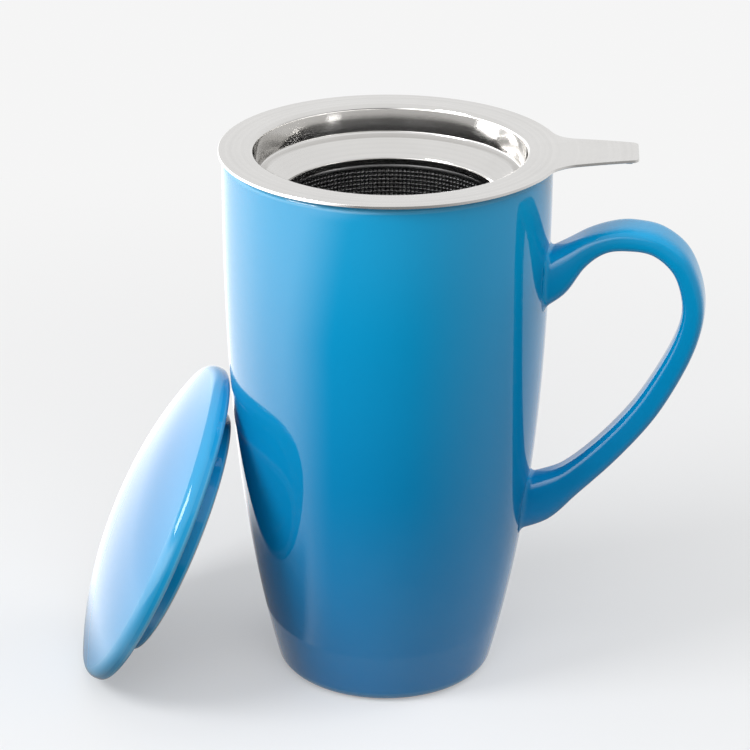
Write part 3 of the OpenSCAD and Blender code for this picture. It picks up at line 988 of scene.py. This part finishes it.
class MUG_OT_collar(Operator):
    """Press the collar: flange, lift tab, drawn wall, step, sloping floor and skirt"""

    bl_idname = "mug.collar"
    bl_label = "Infuser collar"

    def execute(self, context):
        infuser = context.scene.mug_infuser
        tab = context.scene.mug_tab
        bm = bmesh.new()
        ring = [bm.verts.new((x, y, infuser.top)) for x, y in flange_outline(infuser, tab)]
        edges = [bm.edges.new((a, b)) for a, b in zip(ring, ring[1:] + ring[:1])]
        for radius, height in collar_path(infuser):
            ring, edges = extrude(bm, edges)
            for vert in ring:
                flat = Vector((vert.co.x, vert.co.y)).normalized() * radius
                vert.co = (flat.x, flat.y, height)
        face_up(bm)
        self.add_hem(bm, infuser, tab)
        for vert in bm.verts:
            out = max(0, vert.co.x - infuser.flange_r) / (tab.reach - infuser.flange_r)
            vert.co.z += tab.lift * math.sin(out * math.pi / 2)
        bmesh.ops.transform(bm, matrix=Matrix.Rotation(tab.turn, 4, "Z"), verts=bm.verts)
        seat(bm, infuser)
        piece = make_piece("collar", bm, steel(), "infuser", ["infuser_collar"])
        give_thickness(piece, infuser.sheet, -1)
        edge = piece.modifiers.new("Worn edge", "BEVEL")
        edge.width = 0.14 * MM
        edge.segments = 2
        edge.limit_method = "ANGLE"
        edge.angle_limit = math.radians(55)
        edge.use_clamp_overlap = True
        edge.harden_normals = True
        return {"FINISHED"}

    def add_hem(self, bm, infuser, tab):
        """Folds the sheet under at the tab's tip."""
        half = tab.tip_w / 2 - tab.corner
        low = infuser.top - infuser.sheet
        out = tab.reach - tab.corner
        back = out - tab.hem
        flap = [(back, -half), (out, -half), (out, half), (back, half)]
        bm.faces.new([bm.verts.new((x, y, low)) for x, y in flap])


def screen_radius(infuser):
    """Inner radius of the side screen, which goes round the skirt."""
    return infuser.skirt_r + infuser.sheet


def pierce(bm, cells, pitch, hole):
    """Opens a square hole in each cell."""
    bmesh.ops.inset_individual(bm, faces=cells, thickness=(pitch - hole) / 2, use_even_offset=True)
    bmesh.ops.delete(bm, geom=cells, context="FACES")


class MUG_OT_side_screen(Operator):
    """Roll the side screen and pierce its rows of holes"""

    bl_idname = "mug.side_screen"
    bl_label = "Side screen"

    def execute(self, context):
        infuser = context.scene.mug_infuser
        radius = screen_radius(infuser)
        columns = round(2 * math.pi * radius / infuser.pitch)
        skirt_top = infuser.top - infuser.collar_d - infuser.funnel_d
        low = infuser.foot + infuser.rim_t + infuser.screen_t
        high = skirt_top - 1 * MM
        field_low = infuser.foot + infuser.rim_h + infuser.margin
        field_high = skirt_top - infuser.skirt_h - infuser.margin
        rows = round((field_high - field_low) / infuser.pitch)
        pitch = (field_high - field_low) / rows
        heights = [low, infuser.foot + infuser.rim_h]
        heights += [field_low + i * pitch for i in range(rows + 1)] + [high]
        bm = lathe([(radius, z) for z in heights], columns)
        cells = [face for face in bm.faces if field_low < face.calc_center_median().z < field_high]
        pierce(bm, cells, pitch, infuser.hole)
        seat(bm, infuser)
        piece = make_piece("side_screen", bm, screen_steel(), "infuser", SCREEN_QUARTERS)
        give_thickness(piece, infuser.screen_t, 1)
        return {"FINISHED"}


class MUG_OT_base_screen(Operator):
    """Cut the base screen and pierce its holes"""

    bl_idname = "mug.base_screen"
    bl_label = "Base screen"

    def execute(self, context):
        infuser = context.scene.mug_infuser
        outer = screen_radius(infuser) + infuser.screen_t
        field = outer - infuser.rim_lip - infuser.pitch
        count = 2 * math.ceil(field / infuser.pitch)
        place = Matrix.Translation((0, 0, infuser.foot + infuser.rim_t))
        half = count * infuser.pitch / 2
        bm = bmesh.new()
        bmesh.ops.create_grid(bm, x_segments=count, y_segments=count, size=half, matrix=place)
        spare = [face for face in bm.faces if any(v.co.to_2d().length > field for v in face.verts)]
        bmesh.ops.delete(bm, geom=spare, context="FACES")
        cells = list(bm.faces)
        border = [edge for edge in bm.edges if edge.is_boundary]
        bmesh.ops.create_circle(bm, segments=120, radius=outer, matrix=place)
        border += [edge for edge in bm.edges if edge.is_wire]
        bmesh.ops.triangle_fill(bm, use_beauty=True, edges=border, normal=(0, 0, 1))
        pierce(bm, cells, infuser.pitch, infuser.hole)
        face_up(bm)
        seat(bm, infuser)
        nodes = ["infuser_base_screen"]
        piece = make_piece("base_screen", bm, screen_steel(), "infuser", nodes)
        give_thickness(piece, infuser.screen_t, 1)
        return {"FINISHED"}


class MUG_OT_base_rim(Operator):
    """Press the rim that clasps the foot of the side screen"""

    bl_idname = "mug.base_rim"
    bl_label = "Base rim"

    def execute(self, context):
        infuser = context.scene.mug_infuser
        inner = screen_radius(infuser) + infuser.screen_t
        outer = inner + infuser.rim_t
        lip = inner - infuser.rim_lip
        foot = infuser.foot
        top = foot + infuser.rim_h
        soft = 0.2 * MM
        outline = rounded(
            [
                ((lip, foot + infuser.rim_t / 2), 0),
                ((lip, foot), soft),
                ((outer, foot), 0.9 * MM),
                ((outer, top), soft),
                ((inner, top), soft),
                ((inner, foot + infuser.rim_t), soft),
                ((lip, foot + infuser.rim_t), soft),
                ((lip, foot + infuser.rim_t / 2), 0),
            ]
        )
        bm = lathe(outline, RIM_STEPS)
        seat(bm, infuser)
        make_piece("base_rim", bm, steel(), "infuser", ["infuser_base_rim"])
        return {"FINISHED"}


# ---- Studio ----


def add_panel(name, radiance, size, location, target, mirrored=True):
    """A square light panel that faces a point. A panel that isn't mirrored only lights."""
    light = bpy.data.lights.new(name, "AREA")
    light.shape = "SQUARE"
    light.size = size
    light.energy = radiance * size**2 * math.pi
    panel = new_object(name, light)
    panel.visible_camera = False
    panel.visible_glossy = mirrored
    panel.location = location
    panel.rotation_euler = (target - location).to_track_quat("-Z", "Y").to_euler()


class MUG_OT_studio(Operator):
    """Set up the paper floor and sweep, the light panels and the camera"""

    bl_idname = "mug.studio"
    bl_label = "Studio"

    def execute(self, context):
        studio = context.scene.mug_studio
        context.scene.view_settings.view_transform = "Standard"
        self.add_paper(studio)
        self.add_lights(studio)
        self.add_camera(context, studio)
        return {"FINISHED"}

    def add_paper(self, studio):
        """One sheet of paper that runs back over the table and up behind it."""
        front = -3.0
        back = 2.6
        bend = 1.2
        top = 4.0
        width = 8.0
        outline = [(front, 0)] + line((front, 0), (back - bend, 0), 4)
        outline += arc((back - bend, bend), bend, -90, 0, 24)[1:] + [(back, top)]
        bm = bmesh.new()
        side = [bm.verts.new((-width / 2, y, z)) for y, z in outline]
        edges = [bm.edges.new(pair) for pair in zip(side, side[1:])]
        bmesh.ops.translate(bm, vec=(width, 0, 0), verts=extrude(bm, edges)[0])
        bmesh.ops.recalc_face_normals(bm, faces=bm.faces)
        turn = Matrix.Rotation(studio.azimuth, 3, "Z")
        bmesh.ops.rotate(bm, cent=(0, 0, 0), matrix=turn, verts=bm.verts)
        paper = mesh_object("studio_paper", bm, paper_finish(studio))

    def add_lights(self, studio):
        """Three soft panels, a curved card that is only mirrored, and pale surroundings."""
        turn = Matrix.Rotation(studio.azimuth, 3, "Z")
        middle = Vector((0, 0, 0.07))
        key = turn @ Vector((-0.46, -0.25, 0.47))
        front = turn @ Vector((0.045, -0.51, 0.68))
        back_right = turn @ Vector((0.63, 0.29, 0.47))
        add_panel("key_panel", studio.key_light, 0.25, key, middle)
        add_panel("front_panel", studio.front_light, 0.5, front, middle, mirrored=False)
        add_panel("back_panel", studio.back_light, 0.5, back_right, middle, mirrored=False)
        self.add_card(studio)
        bpy.context.scene.world = air_finish(studio)

    def add_card(self, studio):
        """The card lies on the floor from beside the mug outwards and stands up at its far edge."""
        near = 0.04
        far = 0.7
        bend = 0.2
        floor_gap = 0.002
        top = 0.42
        start = math.radians(95)
        sweep = math.radians(300)
        profile = [(near, floor_gap), (far - bend, floor_gap)]
        profile += arc((far - bend, bend), bend, -90, 0)[1:] + [(far, top)]
        bm = bmesh.new()
        path = path_in(bm, profile)
        bmesh.ops.spin(bm, geom=path, cent=(0, 0, 0), axis=(0, 0, 1), angle=sweep, steps=100)
        turn = Matrix.Rotation(start, 3, "Z")
        bmesh.ops.rotate(bm, cent=(0, 0, 0), matrix=turn, verts=bm.verts)
        card = mesh_object("studio_card", bm, card_finish(studio.card_light))
        card.rotation_euler.z = studio.azimuth
        card.visible_camera = False
        card.visible_diffuse = False
        card.visible_transmission = False
        card.visible_shadow = False

    def add_camera(self, context, studio):
        """The camera of the photograph."""
        lens = bpy.data.cameras.new("camera")
        lens.lens = studio.lens
        lens.sensor_width = studio.sensor
        lens.dof.use_dof = False
        camera = new_object("camera", lens)
        turn = Matrix.Rotation(studio.azimuth, 4, "Z")
        place = turn @ Vector((0, -studio.distance, studio.rise))
        aim = (
            Matrix.Rotation(studio.azimuth + studio.pan, 4, "Z")
            @ Matrix.Rotation(math.pi / 2 - studio.pitch, 4, "X")
            @ Matrix.Rotation(studio.roll, 4, "Z")
        )
        camera.matrix_world = Matrix.Translation(place) @ aim
        context.scene.camera = camera


class MUG_PT_pieces(Panel):
    """Lists the pieces and their sizes"""

    bl_idname = "MUG_PT_pieces"
    bl_label = "Tea mug"
    bl_space_type = "VIEW_3D"
    bl_region_type = "UI"
    bl_category = "Tea mug"

    def draw(self, context):
        for operator in OPERATORS:
            self.layout.operator(operator.bl_idname)
        for key in GROUPS:
            group = getattr(context.scene, key)
            box = self.layout.box()
            box.label(text=type(group).__doc__)
            for name in type(group).__annotations__:
                box.prop(group, name)


OPERATORS = (
    MUG_OT_cup,
    MUG_OT_handle,
    MUG_OT_lid,
    MUG_OT_collar,
    MUG_OT_side_screen,
    MUG_OT_base_screen,
    MUG_OT_base_rim,
    MUG_OT_studio,
)
GROUPS = {
    "mug_cup": CupSizes,
    "mug_handle": HandleSizes,
    "mug_lid": LidSizes,
    "mug_infuser": InfuserSizes,
    "mug_tab": TabSizes,
    "mug_colours": FinishColours,
    "mug_studio": StudioSettings,
}


def register():
    for group in GROUPS.values():
        bpy.utils.register_class(group)
    for key, group in GROUPS.items():
        setattr(bpy.types.Scene, key, PointerProperty(type=group))
    for operator in OPERATORS:
        bpy.utils.register_class(operator)
    bpy.utils.register_class(MUG_PT_pieces)


def unregister():
    bpy.utils.unregister_class(MUG_PT_pieces)
    for operator in reversed(OPERATORS):
        bpy.utils.unregister_class(operator)
    for key, group in reversed(GROUPS.items()):
        delattr(bpy.types.Scene, key)
        bpy.utils.unregister_class(group)


def main():
    register()
    bpy.ops.mug.cup()
    bpy.ops.mug.handle()
    bpy.ops.mug.lid()
    bpy.ops.mug.collar()
    bpy.ops.mug.side_screen()
    bpy.ops.mug.base_screen()
    bpy.ops.mug.base_rim()
    bpy.ops.mug.studio()


if __name__ == "__main__":
    main()
